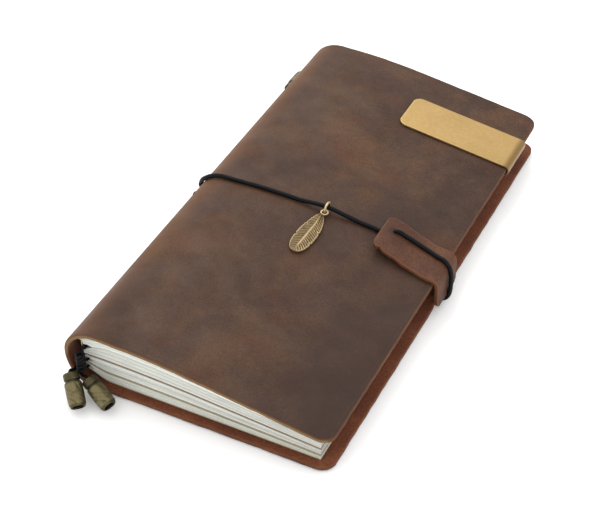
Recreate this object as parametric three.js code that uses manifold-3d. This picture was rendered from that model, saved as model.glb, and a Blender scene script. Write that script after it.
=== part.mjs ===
// A leather-covered sketchbook: three stapled booklets held in a folded cover by elastics, closed by
// a round elastic with a pull tab. Millimetres, +Z up. The back cover lies on z = 0, the spine is
// towards -X, the fore-edge towards +X, the head towards +Y and the tail towards -Y.
import * as THREE from 'three';
import { mergeVertices } from 'three/addons/utils/BufferGeometryUtils.js';
import Module from 'manifold-3d';

const wasm = await Module();
wasm.setup();

// Cover
const coverLength = 220;
const spineX = -56;
const foreX = 56.2;
const leather = 2;
const cornerRadius = 6;
const spineMid = 15;
const lowerBend = 11;
const upperBend = 14.6;
const spineHeight = 27.9;
const frontSlope = 0.15;
const slopeStartX = 0;
const splitGap = 0.15;

// Booklets
const paperLength = 210;
const paperShift = -1.8;
const foldX = -49.5;
const paperForeX = 51;
const card = 0.35;
const gap = 0.3;
const stackLow = 2.35;
const clipRoom = 1.5;
const pinchStartX = -38;
const pinchHeight = 13;
const pinchBelow = 0.38;
const pinchAbove = 0.2;
const foldChannel = 0.95;
const bookletSplits = { c: [0, 0.228], b: [0.228, 0.516], a: [0.516, 1] };

// Elastics, closing strap and its channel under the back cover
const strapRadius = 1;
const bindingRadius = 0.65;
const strandRadius = 0.7;
const strapLift = strapRadius + gap;
const channelY = -4.8;
const channelHeight = 2.35;
const channelFlat = 1.8;
const channelReach = 9;
const pressedStack = 6;

// Pull tab
const tabThickness = 1.8;
const tabWidth = 20;
const tabLeftX = 27.4;
const tabSettleX = 50;

// Metal pieces
const clipLength = 53.8;
const clipWidth = 21.6;
const clipY = 79.8;
const clipSheet = 0.8;
const clipStartX = 4.3;
const beadLength = 13.6;
const beadRadius = 3.3;
const beadBore = 1.35;
const charmX = 3.3;
const featherLength = 25.5;
const featherWidth = 8.4;
const featherWidest = 0.58;
const featherLean = -0.6;

const browns = {
  leather: { color: 0x644a38, roughness: 0.62, metalness: 0 },
  tab: { color: 0x78523f, roughness: 0.66, metalness: 0 },
  card: { color: 0xa88f6c, roughness: 0.85, metalness: 0 },
  paper: { color: 0xe4e4dc, roughness: 0.9, metalness: 0 },
  elastic: { color: 0x15161a, roughness: 0.7, metalness: 0 },
  bronze: { color: 0x7d7148, roughness: 0.42, metalness: 0.9 },
  brass: { color: 0xd0ae70, roughness: 0.34, metalness: 1 },
  steel: { color: 0xb4b6b8, roughness: 0.35, metalness: 1 },
};

const book = new THREE.Group();

function addMesh(name, geometry, look) {
  const mesh = new THREE.Mesh(geometry, new THREE.MeshStandardMaterial(browns[look]));
  mesh.name = name;
  book.add(mesh);
  return mesh;
}

function smooth(value) {
  const t = Math.min(Math.max(value, 0), 1);
  return t * t * (3 - 2 * t);
}

function range(from, to, steps) {
  return Array.from({ length: steps + 1 }, (_, i) => from + ((to - from) * i) / steps);
}

// A closed solid between two grids of points; top(u, v) and bottom(u, v) face each other.
function slab(us, vs, top, bottom) {
  const positions = [];
  const indices = [];
  const wide = vs.length;
  const layer = us.length * wide;
  for (const surface of [top, bottom]) {
    us.forEach((u) => vs.forEach((v) => positions.push(...surface(u, v))));
  }
  const at = (side, i, j) => side * layer + i * wide + j;
  const quad = (a, b, c, d) => indices.push(a, b, c, a, c, d);
  for (let i = 0; i < us.length - 1; i += 1) {
    for (let j = 0; j < wide - 1; j += 1) {
      quad(at(0, i, j), at(0, i + 1, j), at(0, i + 1, j + 1), at(0, i, j + 1));
      quad(at(1, i, j), at(1, i, j + 1), at(1, i + 1, j + 1), at(1, i + 1, j));
    }
    quad(at(0, i, 0), at(1, i, 0), at(1, i + 1, 0), at(0, i + 1, 0));
    quad(at(0, i, wide - 1), at(0, i + 1, wide - 1), at(1, i + 1, wide - 1), at(1, i, wide - 1));
  }
  const last = us.length - 1;
  for (let j = 0; j < wide - 1; j += 1) {
    quad(at(0, 0, j), at(0, 0, j + 1), at(1, 0, j + 1), at(1, 0, j));
    quad(at(0, last, j), at(1, last, j), at(1, last, j + 1), at(0, last, j + 1));
  }
  const geometry = new THREE.BufferGeometry();
  geometry.setAttribute('position', new THREE.Float32BufferAttribute(positions, 3));
  geometry.setIndex(indices);
  geometry.computeVertexNormals();
  return geometry;
}

function toSolid(geometry) {
  const plain = geometry.clone();
  plain.deleteAttribute('normal');
  plain.deleteAttribute('uv');
  const merged = mergeVertices(plain, 1e-4);
  return new wasm.Manifold(new wasm.Mesh({
    numProp: 3,
    vertProperties: new Float32Array(merged.attributes.position.array),
    triVerts: new Uint32Array(merged.index.array),
  }));
}

function toGeometry(solid) {
  const mesh = solid.getMesh();
  const geometry = new THREE.BufferGeometry();
  geometry.setAttribute('position', new THREE.BufferAttribute(mesh.vertProperties, 3));
  geometry.setIndex(new THREE.BufferAttribute(mesh.triVerts, 1));
  geometry.computeVertexNormals();
  return geometry;
}

function cut(geometry, tools) {
  const solid = tools.reduce((left, tool) => left.subtract(toSolid(tool)), toSolid(geometry));
  return toGeometry(solid);
}

function join(geometries) {
  return toGeometry(geometries.map(toSolid).reduce((all, next) => all.add(next)));
}

// A smooth curve that is sampled evenly between its points, so tight turns keep their shape.
class RouteCurve extends THREE.CatmullRomCurve3 {
  getSpacedPoints(steps) {
    return this.getPoints(steps);
  }

  getTangentAt(u, target) {
    return this.getTangent(u, target);
  }
}

// A round cord through a list of [x, y, z] points, with steps sections from end to end.
function cord(points, radius, steps, sides = 8) {
  const curve = new RouteCurve(points.map((p) => new THREE.Vector3(...p)), false, 'centripetal');
  const section = new THREE.Shape();
  for (let i = 0; i < sides; i += 1) {
    const angle = (2 * Math.PI * i) / sides;
    const move = i === 0 ? 'moveTo' : 'lineTo';
    section[move](radius * Math.cos(angle), radius * Math.sin(angle));
  }
  return new THREE.ExtrudeGeometry(section, { steps, extrudePath: curve, bevelEnabled: false });
}

// ---- Cover ----

// Height of the front cover's outer face, lowered by a depth into the leather.
function frontZ(x, depth = 0) {
  const crown = spineX + upperBend;
  const bend = frontSlope / (2 * (slopeStartX - crown));
  const reach = Math.min(x, slopeStartX) - crown;
  return spineHeight - depth - bend * reach * reach - frontSlope * Math.max(x - slopeStartX, 0);
}

function lowerArc(angle, depth) {
  return [
    spineX + lowerBend - (lowerBend - depth) * Math.sin(angle),
    spineMid - (spineMid - depth) * Math.cos(angle),
  ];
}

function upperArc(angle, depth) {
  return [
    spineX + upperBend - (upperBend - depth) * Math.cos(angle),
    spineMid + (spineHeight - spineMid - depth) * Math.sin(angle),
  ];
}

// Half the cover's length at x, shortened where the fore-edge corner is rounded.
function halfCover(x) {
  const past = Math.max(x - (foreX - cornerRadius), 0);
  return coverLength / 2 - cornerRadius + Math.sqrt(Math.max(cornerRadius ** 2 - past ** 2, 0));
}

// How far the closing elastic presses everything up above its channel.
function pressedUp(x, y, z) {
  const across = smooth((channelReach - Math.abs(y - channelY)) / (channelReach - channelFlat));
  const along = smooth((x - (spineX + 4)) / 4);
  const above = 1 - Math.min(Math.max((z - leather) / pressedStack, 0), 1);
  return channelHeight * across * along * above;
}

const rows = [-1, -0.4, ...range(-1, 1, 6).map((t) => (channelY + channelReach * t) / 110), 0.4, 1];
const foreColumns = [foreX - 6, foreX - 3, foreX - 1.2, foreX - 0.3, foreX];

function coverPoint(outline, depth) {
  return (u, v) => {
    const [x, z] = outline(u, depth);
    const y = v * halfCover(x);
    return [x, y, z + pressedUp(x, y, z)];
  };
}

// u below 0 runs round the bend in radians, u above 0 is the distance along the panel.
function backOutline(u, depth) {
  return u < 0 ? lowerArc(-u, depth) : [spineX + lowerBend + u, depth];
}

function frontOutline(u, depth) {
  if (u < 0) return upperArc(Math.PI / 2 + u, depth);
  const x = spineX + upperBend + u;
  return [x, frontZ(x, depth)];
}

function makeBackCover() {
  const start = Math.asin((lowerBend * 0.9999) / lowerBend);
  const bend = range(-start, -Math.PI / 16, 7).map((u, i) => (i === 0 ? u + splitGap / spineMid : u));
  const flats = [0, 12, 40, 70, ...foreColumns.map((x) => x - spineX - lowerBend)];
  const us = [...bend, ...flats];
  return slab(us, rows, coverPoint(backOutline, leather), coverPoint(backOutline, 0));
}

function makeFrontCover() {
  const bend = range(-Math.PI / 2, -Math.PI / 16, 7).map((u, i) => (i === 0 ? u + splitGap / 12 : u));
  const crown = spineX + upperBend;
  const flats = [0, 10, 20, 30, slopeStartX - crown, 70, ...foreColumns.map((x) => x - crown)];
  const us = [...bend, ...flats];
  const ends = [-1, -0.5, 0, 0.5, 1];
  return slab(us, ends, coverPoint(frontOutline, 0), coverPoint(frontOutline, leather));
}

// ---- Booklets ----

// Height at a fraction of the stack, pinched together towards the folds.
function stackZ(fraction, x) {
  const top = frontZ(x, leather) - clipRoom;
  const open = stackLow + fraction * (top - stackLow);
  const amount = open > pinchHeight ? pinchAbove : pinchBelow;
  const pinch = 1 - amount * smooth((pinchStartX - x) / (pinchStartX - foldX));
  return pinchHeight + (open - pinchHeight) * pinch;
}

function paperPoint(x, v, z) {
  const y = paperShift + (v * paperLength) / 2;
  return [x, y, z + pressedUp(x, y, z)];
}

const paperRows = [
  -1,
  ...range(-1, 1, 6).map((t) => (2 * (channelY + channelReach * t - paperShift)) / paperLength),
  1,
];

// One half of a booklet's leaves, from the fold to the fore-edge.
function makePages(low, high, upper, rowsUsed) {
  const middle = (low + high) / 2;
  const columns = [foldX + 0.5, foldX + 3, foldX + 4, -43, pinchStartX, -20, 0, 26, paperForeX];
  const inside = (x) => gap / 2 + (foldChannel - gap / 2) * smooth((foldX + 4 - x) / 1);
  const outside = gap / 2 + card + gap;
  const floor = (x) => (upper ? stackZ(middle, x) + inside(x) : stackZ(low, x) + outside);
  const ceiling = (x) => (upper ? stackZ(high, x) - outside : stackZ(middle, x) - inside(x));
  return slab(
    columns,
    rowsUsed,
    (x, v) => paperPoint(x, v, ceiling(x)),
    (x, v) => paperPoint(x, v, floor(x)),
  );
}

// A booklet's card cover as one outline: u from -1 (back fore-edge) to 1 (front fore-edge).
function cardOutline(low, high) {
  const columns = [paperForeX, 26, 0, -20, pinchStartX, -43, foldX + 0.6];
  const path = [];
  const bottom = (x) => stackZ(low, x) + gap / 2;
  const top = (x) => stackZ(high, x) - gap / 2;
  columns.forEach((x) => path.push([[x, bottom(x)], [x, bottom(x) + card]]));
  const middle = stackZ((low + high) / 2, foldX);
  const rise = [bottom(foldX) + 0.5, middle - 0.45, middle + 0.45, top(foldX) - 0.5];
  rise.forEach((z) => path.push([[foldX - card, z], [foldX, z]]));
  columns.reverse().forEach((x) => path.push([[x, top(x)], [x, top(x) - card]]));
  return path;
}

function makeCard(low, high, part, rowsUsed) {
  const path = cardOutline(low, high);
  const half = path.length / 2;
  const pieces = { whole: path, back: path.slice(0, half), front: path.slice(half) };
  const used = pieces[part];
  const us = used.map((_, i) => i);
  const point = (side) => (u, v) => paperPoint(used[u][side][0], v, used[u][side][1]);
  return slab(us, rowsUsed, point(0), point(1));
}

function foldHeight(name, x = foldX) {
  const [low, high] = bookletSplits[name];
  return stackZ((low + high) / 2, x);
}

// ---- Staples: a crown outside the fold and two legs through it ----

const stapleRadius = 0.25;
const stapleCrown = 12;
const staplePlaces = { tail: -52, head: 52 };

function staplePath(name, place) {
  const y = staplePlaces[place] + paperShift;
  const z = foldHeight(name);
  const outer = foldX - card - gap - stapleRadius;
  const inner = foldX + 0.7;
  const turn = 0.5;
  return [
    [inner, y - stapleCrown / 2, z],
    [outer + turn, y - stapleCrown / 2, z],
    [outer, y - stapleCrown / 2 + turn, z],
    [outer, y + stapleCrown / 2 - turn, z],
    [outer + turn, y + stapleCrown / 2, z],
    [inner, y + stapleCrown / 2, z],
  ];
}

function legSlot(name, place, side) {
  const y = staplePlaces[place] + paperShift + (side * stapleCrown) / 2;
  const slot = new THREE.BoxGeometry(3, 1, 1);
  slot.translate(foldX, y, foldHeight(name));
  return slot;
}

// ---- Elastics ----

// The elastic of one booklet: along its centre fold and back through the gutter.
function bindingPath(name, gutterZ) {
  const gutterX = foldX - card - 1;
  const foldRun = foldX + 1.6;
  const z = foldHeight(name, foldRun);
  const tail = paperShift - paperLength / 2;
  const head = paperShift + paperLength / 2;
  const past = 1.9;
  return [
    [foldRun - 1.4, tail - past, z + (gutterZ - z) * 0.3],
    [foldRun, tail - 1.1, z],
    [foldRun, tail + 4, z],
    [foldRun, 0, z],
    [foldRun, head - 4, z],
    [foldRun, head + 1.1, z],
    [foldRun - 1.8, head + past, z + (gutterZ - z) * 0.5],
    [gutterX, head + 0.8, gutterZ],
    [gutterX, head - 5, gutterZ],
    [gutterX, 0, gutterZ],
    [gutterX, tail + 6, gutterZ],
    [gutterX, tail + 1, gutterZ],
  ];
}

// Height of the closing elastic's axis above the leather: lifted for the charm's ring.
const ringRoom = 1.4;
const strapAtCharmY = -0.5;

function strapOver(x, y) {
  const lift = strapLift + ringRoom * smooth(1 - Math.abs(x - charmX) / 14);
  return [x, y, frontZ(x) + lift];
}

// Height of the pull tab's underside above the cover: the elastic props up its free end.
function tabLift(x) {
  return gap + (2 * strapRadius + gap) * smooth((tabSettleX - x) / (tabSettleX - 27));
}

function strapOnTab(x, y) {
  return [x, y, frontZ(x) + tabLift(x) + tabThickness + gap + strapRadius];
}

const strapHoles = [-1, -5.8];

function strapPath() {
  return [
    [-52.7, strapHoles[0], 17.1],
    [-54.5, strapHoles[0], 17],
    [-56.1, strapHoles[0], 17.1],
    [-56.95, strapHoles[0] - 0.2, 18.2],
    [-56.35, -1.6, 20.2],
    [-55, -2.4, 22.5],
    [-52.7, -3.3, 25.1],
    [-49.4, -3.5, 27.7],
    [-45, -3.6, 29.1],
    strapOver(-39, -3.6),
    strapOver(-27, -2.7),
    strapOver(-16, -2),
    strapOver(-9, -1.5),
    strapOver(-2, -0.9),
    strapOver(charmX, strapAtCharmY),
    strapOver(10, -0.1),
    strapOver(17, 0.3),
    strapOver(23, 0.5),
    strapOver(27, 0.4),
    strapOver(30, 0.3),
    strapOnTab(34.4, 0.3),
    strapOnTab(38, 0.2),
    strapOnTab(43, -0.2),
    strapOnTab(48, -1),
    strapOnTab(52.4, -2),
    [56.6, -3, 19.7],
    [58.9, -3.6, 17.8],
    [60.2, -4.1, 14.6],
    [60.5, -4.5, 11],
    [60.5, channelY, 7],
    [60.3, channelY, 4],
    [59.2, channelY, 2.1],
    [57.2, channelY, 1.2],
    [54, channelY, 1.08],
    [44, channelY, 1.08],
    [20, channelY, 1.08],
    [-10, channelY, 1.08],
    [-36, channelY, 1.08],
    [-46, channelY, 1.08],
    [-50, channelY, 1.15],
    [-52.4, channelY, 1.6],
    [-54.7, channelY, 4.3],
    [-56.3, -5, 8.6],
    [-57.2, -5.4, 12.6],
    [-57.3, strapHoles[1], 15.4],
    [-56.2, strapHoles[1], 17],
    [-54.5, strapHoles[1], 17.2],
    [-52.7, strapHoles[1], 17.1],
  ];
}

const strapSteps = 94;

function makeStrap(extra = 0) {
  return cord(strapPath(), strapRadius + extra, strapSteps);
}

function makeClosureKnot() {
  const knot = new THREE.SphereGeometry(1, 12, 8);
  knot.scale(0.75, 1.1, 1.3);
  knot.translate(-52.9, (strapHoles[0] + strapHoles[1]) / 2, 17.1);
  return knot;
}

// ---- Pull tab: over the front cover, round the fore-edge ----

function tabPath() {
  const over = [tabLeftX, 30, 33, 36, 40, 44, 48, 51, 53.4].map((x) => [x, frontZ(x) + tabLift(x)]);
  const down = [[55.4, 17], [56.7, 16.3], [57.2, 14.9], [57.3, 12], [57.3, 9], [57.4, 6.4], [57.4, 4.2]];
  return [...over, ...down];
}

function tabOutside(path, i) {
  const before = path[Math.max(i - 1, 0)];
  const after = path[Math.min(i + 1, path.length - 1)];
  const run = Math.hypot(after[0] - before[0], after[1] - before[1]);
  const nx = -(after[1] - before[1]) / run;
  const nz = (after[0] - before[0]) / run;
  return [path[i][0] + nx * tabThickness, path[i][1] + nz * tabThickness];
}

function makeTab() {
  const path = tabPath();
  const outer = path.map((_, i) => tabOutside(path, i));
  const travel = path.map((_, i) => i / (path.length - 1));
  const middleY = (i) => -1.8 - 3.4 * smooth(travel[i] * 1.5);
  const round = [2.6, 0.9, 0.2];
  const halfWidth = (i) => {
    const fromEnd = Math.min(i, path.length - 1 - i);
    return tabWidth / 2 - (round[fromEnd] ?? 0);
  };
  const point = (line) => (i, v) => [line[i][0], middleY(i) + v * halfWidth(i), line[i][1]];
  const us = path.map((_, i) => i);
  const plain = slab(us, [-1, -0.4, 0.4, 1], point(outer), point(path));
  return cut(plain, [makeStrap(gap)]);
}

// ---- Brass clip over the front cover's fore-edge ----

// The nose from above to below: [distance back from its end, height over the cover].
const clipNose = [
  [-2.2, 1.1],
  [-1.2, 0.95],
  [-0.4, 0.45],
  [-0.05, -0.4],
  [0, -1.6],
  [-0.2, -2.9],
  [-0.9, -3.9],
  [-2, -4.4],
  [-3.2, -4.35],
  [-4.4, -3.9],
  [-5.5, -3.35],
  [-6.6, -3.1],
];

function clipPath() {
  const slopeAngle = Math.atan(frontSlope);
  const outerLine = clipSheet + gap;
  const innerLine = -leather - gap - clipSheet;
  const path = [
    ...[0, 1, 2.2, 3.6, 18, 36].map((u) => [u, outerLine]),
    ...clipNose.map(([back, height]) => [clipLength + back, height]),
    ...[36, 18, 6, 4.4, 3.4].map((u) => [u, innerLine]),
  ];
  return path.map(([u, w]) => [
    clipStartX + u * Math.cos(slopeAngle) + w * Math.sin(slopeAngle),
    frontZ(clipStartX) - u * Math.sin(slopeAngle) + w * Math.cos(slopeAngle),
  ]);
}

function makeClip() {
  const path = clipPath();
  const inner = path.map((_, i) => {
    const before = path[Math.max(i - 1, 0)];
    const after = path[Math.min(i + 1, path.length - 1)];
    const run = Math.hypot(after[0] - before[0], after[1] - before[1]);
    const nx = (after[1] - before[1]) / run;
    const nz = -(after[0] - before[0]) / run;
    return [path[i][0] + nx * clipSheet, path[i][1] + nz * clipSheet];
  });
  const round = [3.4, 1.6, 0.5];
  const halfWidth = (i) => clipWidth / 2 - (round[Math.min(i, path.length - 1 - i)] ?? 0);
  const point = (line) => (i, v) => [line[i][0], clipY + v * halfWidth(i), line[i][1]];
  return slab(path.map((_, i) => i), [-1, 0, 1], point(path), point(inner));
}

// ---- Beads ----

// A hollow barrel bead from a start point, its axis along a direction.
function makeBead(start, direction) {
  const half = beadLength / 2;
  const profile = [
    [beadBore, 0], [beadRadius - 0.7, 0], [beadRadius - 0.2, 0.5], [beadRadius - 0.1, 2.6],
    [beadRadius - 0.7, 3], [beadRadius - 0.7, 3.5], [beadRadius - 0.1, 3.9], [beadRadius, half + 1.5],
    [beadRadius - 0.1, beadLength - 0.8], [beadRadius - 0.6, beadLength], [beadBore, beadLength],
    [beadBore, 0],
  ];
  const bead = new THREE.LatheGeometry(profile.map(([r, l]) => new THREE.Vector2(r, l)), 16);
  const turn = new THREE.Quaternion();
  turn.setFromUnitVectors(new THREE.Vector3(0, 1, 0), new THREE.Vector3(...direction).normalize());
  bead.applyQuaternion(turn);
  bead.translate(...start);
  return bead;
}

const tailBeads = {
  left: { top: [-50.2, -115.2, 9.8], toward: [7.7, -8.2, -6.4] },
  right: { top: [-43.4, -113.6, 8.3], toward: [11.3, -4.6, -4.8] },
};

function along({ top, toward }, distance) {
  const size = Math.hypot(...toward);
  return top.map((value, i) => value + (toward[i] / size) * distance);
}

const strandPaths = {
  left: [
    [-52.5, -92, 12],
    [-52.4, -99, 11.7],
    [-52.2, -105.5, 10.6],
    [-51, -109.4, 8.8],
    [-50.4, -112.4, 9.4],
    along(tailBeads.left, -1),
    along(tailBeads.left, 6),
    along(tailBeads.left, 11.5),
  ],
  right: [
    [-51, -92, 7.9],
    [-51, -99, 7.9],
    [-50.95, -105.5, 7.7],
    [-50.2, -110.4, 7.3],
    [-46.9, -112.6, 7.9],
    along(tailBeads.right, -1),
    along(tailBeads.right, 6),
    along(tailBeads.right, 11.5),
  ],
};

// The knot that gathers the booklet elastics: a short core with turns wound round it.
function makeBindingKnot() {
  const core = new THREE.CylinderGeometry(1.4, 1.4, 10, 10);
  core.rotateX(Math.PI / 2);
  const turns = [-3.6, -1.8, 0, 1.8, 3.6].map((height) => {
    const turn = new THREE.TorusGeometry(1.2, 0.95, 6, 10);
    turn.translate(0, 0, height);
    return turn;
  });
  const knot = join([core, ...turns]);
  knot.translate(-47.4, -111.7, 14.4);
  return knot;
}

const spineBeadX = -59.1;
const spineBeadY = 96.4;
const spineBeadZ = 9.6;

function spineLoopPath() {
  const reach = beadLength / 2 + 1.9;
  const side = (sign) => {
    const y = spineBeadY + sign * reach;
    return [[-51.9, y, 10.1], [-55.1, y, 9.1], [-57.7, y - sign * 0.4, 9.3], [spineBeadX, y - sign * 1.9, spineBeadZ]];
  };
  return [...side(-1), [spineBeadX, spineBeadY, spineBeadZ], ...side(1).reverse()];
}

function makeSpineLoop(extra = 0) {
  return cord(spineLoopPath(), strandRadius + extra, 24);
}

// ---- Charm: an oval ring round the closing elastic, and a feather lying on the cover ----

const ringTube = 0.5;
const ringY = strapAtCharmY - 0.8;

function makeCharmRing() {
  const ring = new THREE.TorusGeometry(1.9, ringTube, 8, 20);
  ring.scale(2.6 / 1.9, 1, 1);
  ring.rotateX(Math.PI / 2);
  ring.rotateZ(Math.PI / 2);
  ring.translate(charmX, ringY, frontZ(charmX) + strapLift + ringRoom);
  return ring;
}

// Half-width of the feather from its quill (0) to its tip (1), with a few splits in the vane.
function featherHalf(s, side) {
  const t = (s - featherWidest) / (s < featherWidest ? featherWidest : 1 - featherWidest);
  const body = s < featherWidest ? (1 - Math.abs(t) ** 2.2) ** 0.8 : Math.sqrt(Math.max(1 - t ** 2.6, 0));
  const split = side < 0 ? [0.3, 0.62] : [0.42, 0.72];
  const notch = split.reduce((keep, at) => keep - 0.16 * Math.max(1 - Math.abs(s - at) / 0.03, 0), 1);
  return 0.35 + (featherWidth / 2 - 0.35) * body * notch;
}

function makeFeather() {
  const rootY = ringY - 3.5;
  const surface = (x) => frontZ(x) + gap;
  const arch = (s) => 0.85 * (1 - smooth(s / 0.3)) + 0.5 * s * s;
  const place = (s, v, lift) => {
    const y = rootY - s * featherLength;
    const x = charmX - 0.6 + featherLean * s + v * featherHalf(s, v);
    return [x, y, surface(x) + arch(s) + lift];
  };
  const rise = (v) => 0.75 + 0.55 * Math.max(1 - Math.abs(v) / 0.2, 0) - 0.15 * Math.abs(v);
  const lengths = [...new Set([...range(0, 1, 16), 0.27, 0.3, 0.33, 0.39, 0.42, 0.45, 0.59, 0.62, 0.65])];
  lengths.sort((a, b) => a - b);
  const blade = slab(
    lengths,
    [-1, -0.55, -0.14, 0.14, 0.55, 1],
    (s, v) => place(s, v, rise(v)),
    (s, v) => place(s, v, 0),
  );
  const eyelet = new THREE.TorusGeometry(1.42, 0.42, 8, 16);
  eyelet.translate(charmX - 0.15, ringY - 2.3, surface(charmX) + 1.5);
  return join([blade, eyelet]);
}

// ---- Assembly ----

const strapTool = makeStrap(gap);
addMesh('back_cover', cut(makeBackCover(), [strapTool, makeSpineLoop(gap)]), 'leather');
addMesh('front_cover', cut(makeFrontCover(), [strapTool]), 'leather');

const flatRows = [-1, 0, 1];
addMesh('booklet_a_cover_front', makeCard(...bookletSplits.a, 'front', flatRows), 'card');
addMesh('booklet_a_cover_back', makeCard(...bookletSplits.a, 'back', flatRows), 'card');
for (const name of ['b', 'c']) {
  const slots = Object.keys(staplePlaces).flatMap((place) => [-1, 1].map((side) => legSlot(name, place, side)));
  addMesh(`booklet_${name}_cover`, cut(makeCard(...bookletSplits[name], 'whole', paperRows), slots), 'card');
}
for (const name of ['a', 'b', 'c']) {
  const used = name === 'a' ? flatRows : paperRows;
  addMesh(`pages_${name}_upper`, makePages(...bookletSplits[name], true, used), 'paper');
  addMesh(`pages_${name}_lower`, makePages(...bookletSplits[name], false, used), 'paper');
  for (const place of Object.keys(staplePlaces)) {
    addMesh(`staple_${name}_${place}`, cord(staplePath(name, place), stapleRadius, 15, 6), 'steel');
  }
}

addMesh('binding_elastic_a', cord(bindingPath('a', 19.1), bindingRadius, 55, 6), 'elastic');
addMesh('binding_elastic_b', cord(bindingPath('b', 14.6), bindingRadius, 55, 6), 'elastic');
addMesh('binding_elastic_c', cord(bindingPath('c', 10), bindingRadius, 55, 6), 'elastic');
addMesh('binding_knot', makeBindingKnot(), 'elastic');
for (const side of ['left', 'right']) {
  addMesh(`tail_strand_${side}`, cord(strandPaths[side], strandRadius, 21), 'elastic');
  addMesh(`tail_bead_${side}`, makeBead(tailBeads[side].top, tailBeads[side].toward), 'bronze');
}
addMesh('spine_loop', makeSpineLoop(), 'elastic');
addMesh('spine_bead', makeBead([spineBeadX, spineBeadY - beadLength / 2, spineBeadZ], [0, 1, 0]), 'bronze');

addMesh('closure_elastic', makeStrap(), 'elastic');
addMesh('closure_knot', makeClosureKnot(), 'elastic');
addMesh('closure_tab', makeTab(), 'tab');
addMesh('charm_ring', makeCharmRing(), 'bronze');
addMesh('feather_charm', makeFeather(), 'bronze');
addMesh('brass_clip', makeClip(), 'brass');

export default book;
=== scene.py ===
"""A leather-covered sketchbook dressed on its CAD frame.

Lengths are in millimetres until make_mesh() scales them to metres.
"""

import math

import bpy
import numpy as np
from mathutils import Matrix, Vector


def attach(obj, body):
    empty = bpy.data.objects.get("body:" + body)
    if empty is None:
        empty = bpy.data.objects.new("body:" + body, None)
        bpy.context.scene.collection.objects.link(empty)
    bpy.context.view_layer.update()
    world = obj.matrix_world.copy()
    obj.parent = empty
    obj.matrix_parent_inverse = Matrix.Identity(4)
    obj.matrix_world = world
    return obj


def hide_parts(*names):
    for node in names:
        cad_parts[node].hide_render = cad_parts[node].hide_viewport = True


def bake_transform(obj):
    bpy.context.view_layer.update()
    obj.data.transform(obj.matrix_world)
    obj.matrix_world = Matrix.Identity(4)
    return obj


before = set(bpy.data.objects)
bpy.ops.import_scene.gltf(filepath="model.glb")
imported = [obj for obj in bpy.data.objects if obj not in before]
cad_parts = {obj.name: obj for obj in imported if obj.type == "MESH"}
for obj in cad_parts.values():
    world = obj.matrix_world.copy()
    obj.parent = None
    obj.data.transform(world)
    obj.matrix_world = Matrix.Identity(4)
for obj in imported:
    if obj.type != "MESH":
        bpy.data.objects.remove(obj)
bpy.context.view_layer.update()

MM = 0.001

# ---- Dimensions of the book ----
COVER_LENGTH = 220.0
SPINE_X = -56.0
FORE_X = 56.2
LEATHER = 2.0
CORNER = 6.0
SPINE_MID = 15.0
LOWER_BEND = 11.0
UPPER_BEND = 14.6
SPINE_HEIGHT = 27.9
FRONT_SLOPE = 0.15
SLOPE_START = 0.0
PAPER_LENGTH = 210.0
PAPER_SHIFT = -1.8
FOLD_X = -49.5
PAPER_FORE_X = 51.0
CARD = 0.35
CARD_FOLD = 1.0
LEAF_SPACE = 0.12
GAP = 0.3
STACK_LOW = 2.35
CLIP_ROOM = 1.5
PINCH_START_X = -38.0
PINCH_HEIGHT = 13.0
PINCH_BELOW = 0.38
PINCH_ABOVE = 0.2
FOLD_CHANNEL = 0.95
SPLITS = {"c": (0.0, 0.228), "b": (0.228, 0.516), "a": (0.516, 1.0)}
CHANNEL_Y = -4.8
CHANNEL_HEIGHT = 2.35
CHANNEL_FLAT = 1.8
CHANNEL_REACH = 9.0
PRESSED_STACK = 6.0

# ---- Elastics, tab, clip, beads and charm ----
STRAP_RADIUS = 1.0
BINDING_RADIUS = 0.65
STRAND_RADIUS = 0.7
STRAP_LIFT = STRAP_RADIUS + GAP
RING_ROOM = 1.4
TAB_THICKNESS = 1.8
TAB_WIDTH = 20.0
TAB_LEFT_X = 27.4
TAB_SETTLE_X = 50.0
TAB_PROPPED_X = 27.0
TAB_HOLE = (32.2, 0.3)
TAB_NOTCH_X = 31.2
CLIP_LENGTH = 53.8
CLIP_WIDTH = 21.6
CLIP_Y = 79.8
CLIP_START_X = 4.3
CLIP_SHEET = 0.8
BEAD_LENGTH = 13.6
BEAD_RADIUS = 3.3
BEAD_BORE = 1.35
CHARM_X = 3.3
STRAP_AT_CHARM_Y = -0.5
RING_Y = STRAP_AT_CHARM_Y - 0.8
FEATHER_LENGTH = 25.5
FEATHER_WIDTH = 8.4
FEATHER_WIDEST = 0.58
FEATHER_LEAN = -0.6
RING_TUBE = 0.5
SPINE_BEAD = (-59.1, 96.4, 9.6)
TAIL_KNOT = (-47.4, -111.7, 10.3)
TAIL_KNOT_TURNS = 7
STRAP_KNOT = (-52.9, -3.4, 16.5)
GUTTER_HEIGHTS = {"a": 19.1, "b": 14.6, "c": 10.0}

# ---- Camera ----
CAMERA_AZIMUTH = 26.158
CAMERA_ELEVATION = 40.863
CAMERA_DISTANCE = 0.6397
CAMERA_TARGET = (-0.002522, -0.014872, 0.008)
CAMERA_LENS = 92.7
CAMERA_SENSOR = 36.0


def set_camera():
    azimuth = math.radians(CAMERA_AZIMUTH)
    elevation = math.radians(CAMERA_ELEVATION)
    back = Vector((
        math.sin(azimuth) * math.cos(elevation),
        -math.cos(azimuth) * math.cos(elevation),
        math.sin(elevation),
    ))
    data = bpy.data.cameras.new("camera")
    data.lens = CAMERA_LENS
    data.sensor_width = CAMERA_SENSOR
    camera = bpy.data.objects.new("camera", data)
    camera.location = Vector(CAMERA_TARGET) + CAMERA_DISTANCE * back
    camera.rotation_euler = back.to_track_quat("Z", "Y").to_euler()
    bpy.context.scene.collection.objects.link(camera)
    bpy.context.scene.camera = camera


set_camera()


# ---- Shape helpers ----


def smooth(value):
    t = np.clip(value, 0, 1)
    return t * t * (3 - 2 * t)


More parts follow.
